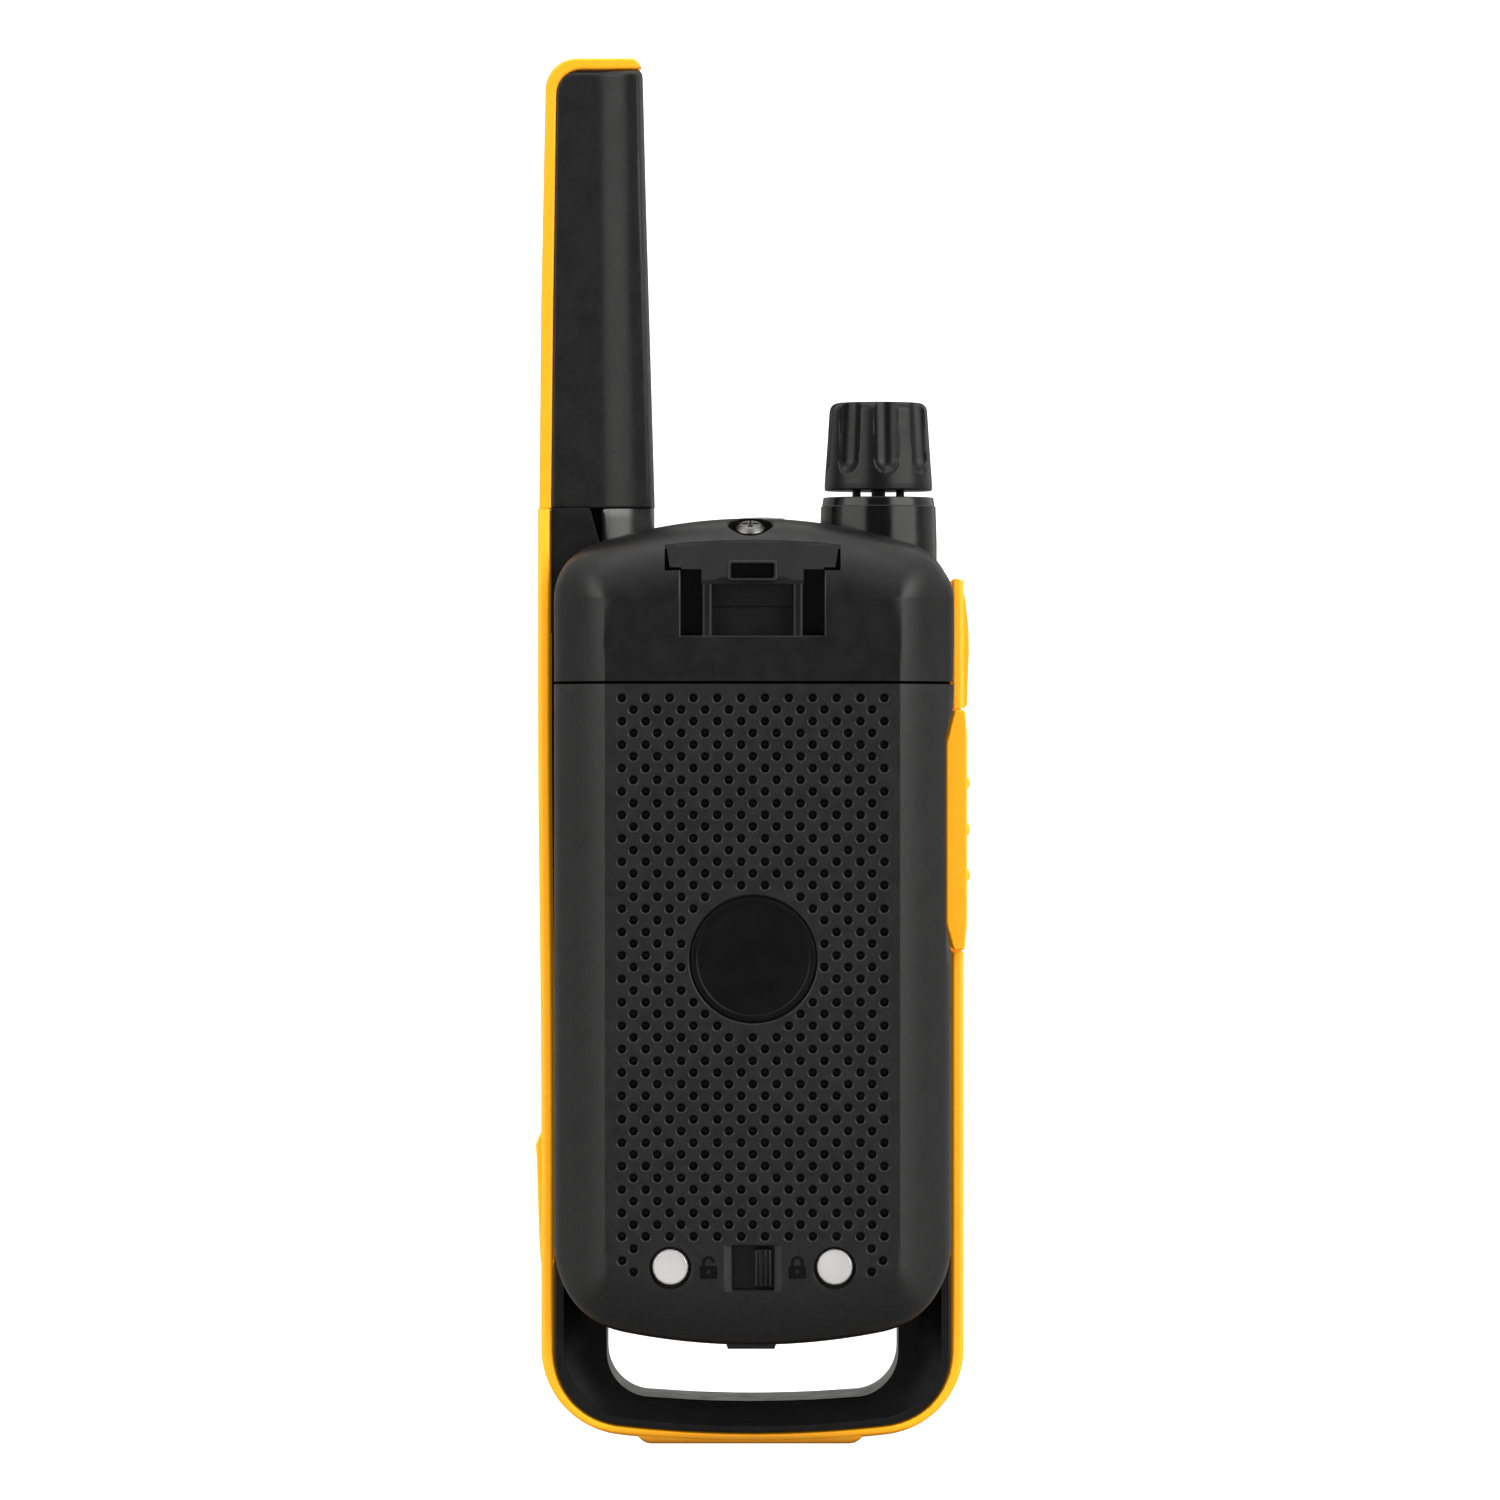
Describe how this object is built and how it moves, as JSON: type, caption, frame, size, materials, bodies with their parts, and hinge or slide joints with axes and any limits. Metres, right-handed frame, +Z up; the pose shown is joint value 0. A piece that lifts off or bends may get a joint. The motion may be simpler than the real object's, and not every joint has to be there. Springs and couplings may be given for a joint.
{
  "type": "two way radio",
  "caption": "Rugged hand-held two way radio with fixed antenna, volume knob, push-to-talk button, battery door with sliding latch, and a lanyard opening at the foot.",
  "frame": {"origin": "middle of the flat foot under the handle loop, on the ground plane", "axes": "+Z up along the body and the antenna; -Y is the display and keypad side, +Y the battery door side; the antenna stands on the +X side and the volume knob on the -X side"},
  "size_m": [0.0599, 0.0342, 0.191],
  "materials": {
    "shell_black": "fine spark texture, satin",
    "door_black": "fine spark texture, matt",
    "gloss_black": "polished",
    "knob_black": "satin, moulded",
    "rail_yellow": "satin soft-touch",
    "rubber_black": "matt",
    "key_rubber": "soft-touch",
    "smoked_lens": "polished, smoked",
    "display_grey": "polarised film",
    "clear_lens": "clear",
    "bright_metal": "nickel plated, satin",
    "steel": "plain",
    "brass": "plain",
    "board_green": "solder mask",
    "grey_plastic": "plain",
    "paper_cone": "pressed paper and woven mesh",
    "cell_wrap": "shrink film",
    "badge_black": "satin, plain",
    "led_white": "moulded resin"
  },
  "bodies": {
    "housing": {"front_shell": "shell_black", "bumper_frame": "rail_yellow", "display_lens": "smoked_lens", "display_module": "display_grey", "keypad_mat": "grey_plastic", "speaker_mesh": "paper_cone", "speaker_basket": "grey_plastic", "speaker_cone": "paper_cone", "speaker_magnet": "steel", "microphone": "steel", "main_pcb": "board_green", "rf_shield": "bright_metal", "ptt_switch": "grey_plastic", "accessory_socket": "gloss_black", "usb_socket": "bright_metal", "rear_housing": "shell_black", "housing_seal": "rubber_black", "case_screw_top": "bright_metal", "case_screw_1": "steel", "case_screw_2": "steel", "case_screw_3": "steel", "case_screw_4": "steel", "battery_cell_1": "cell_wrap", "battery_cell_2": "cell_wrap", "battery_cell_3": "cell_wrap", "battery_contact_top": "bright_metal", "battery_contact_bottom": "bright_metal", "door_seal": "rubber_black", "antenna_sheath": "shell_black", "antenna_strip": "rail_yellow", "antenna_socket": "gloss_black", "antenna_stud": "brass", "antenna_coil": "brass", "knob_collar": "gloss_black", "encoder_body": "steel", "encoder_nut": "bright_metal", "shaft_seal": "rubber_black", "torch_lens": "clear_lens", "torch_reflector": "bright_metal", "torch_led": "led_white"},
    "knob": {"volume_knob": "knob_black", "knob_shaft": "knob_black"},
    "ptt": {"ptt_button": "rail_yellow"},
    "accessory_cover": {"accessory_port_cover": "rail_yellow"},
    "usb_cover": {"usb_port_cover": "rail_yellow"},
    "door": {"battery_door": "door_black", "door_badge": "badge_black", "charge_contact_left": "bright_metal", "charge_contact_right": "bright_metal"},
    "latch": {"door_latch": "gloss_black"},
    "key_menu_body": {"key_menu": "key_rubber"},
    "key_scan_body": {"key_scan": "key_rubber"},
    "key_up_body": {"key_up": "key_rubber"},
    "key_down_body": {"key_down": "key_rubber"},
    "key_call_body": {"key_call": "key_rubber"},
    "key_torch_body": {"key_torch": "key_rubber"}
  },
  "joints": [
    {"name": "knob_turn", "type": "hinge", "parent": "housing", "child": "knob", "pos_m": [-0.0174, -0.003, 0.137], "axis": [0, 0, -1], "range_deg": [0, 280]},
    {"name": "ptt_press", "type": "slide", "parent": "housing", "child": "ptt", "axis": [1, 0, 0], "range_m": [0, 0.0007]},
    {"name": "accessory_cover_open", "type": "hinge", "parent": "housing", "child": "accessory_cover", "pos_m": [-0.0295, -0.005, 0.1188], "axis": [0, 1, 0], "range_deg": [0, 100]},
    {"name": "usb_cover_open", "type": "hinge", "parent": "housing", "child": "usb_cover", "pos_m": [0.0292, -0.005, 0.0246], "axis": [0, 1, 0], "range_deg": [0, 100]},
    {"name": "door_open", "type": "hinge", "parent": "housing", "child": "door", "pos_m": [0, 0.017, 0.1045], "axis": [1, 0, 0], "range_deg": [0, 70]},
    {"name": "latch_slide", "type": "slide", "parent": "door", "child": "latch", "axis": [1, 0, 0], "range_m": [0, 0.0028]},
    {"name": "key_menu_press", "type": "slide", "parent": "housing", "child": "key_menu_body", "axis": [0, 1, 0], "range_m": [0, 0.0004]},
    {"name": "key_scan_press", "type": "slide", "parent": "housing", "child": "key_scan_body", "axis": [0, 1, 0], "range_m": [0, 0.0004]},
    {"name": "key_up_press", "type": "slide", "parent": "housing", "child": "key_up_body", "axis": [0, 1, 0], "range_m": [0, 0.0004]},
    {"name": "key_down_press", "type": "slide", "parent": "housing", "child": "key_down_body", "axis": [0, 1, 0], "range_m": [0, 0.0004]},
    {"name": "key_call_press", "type": "slide", "parent": "housing", "child": "key_call_body", "axis": [0, 1, 0], "range_m": [0, 0.0004]},
    {"name": "key_torch_press", "type": "slide", "parent": "housing", "child": "key_torch_body", "axis": [0, 1, 0], "range_m": [0, 0.0004]}
  ]
}
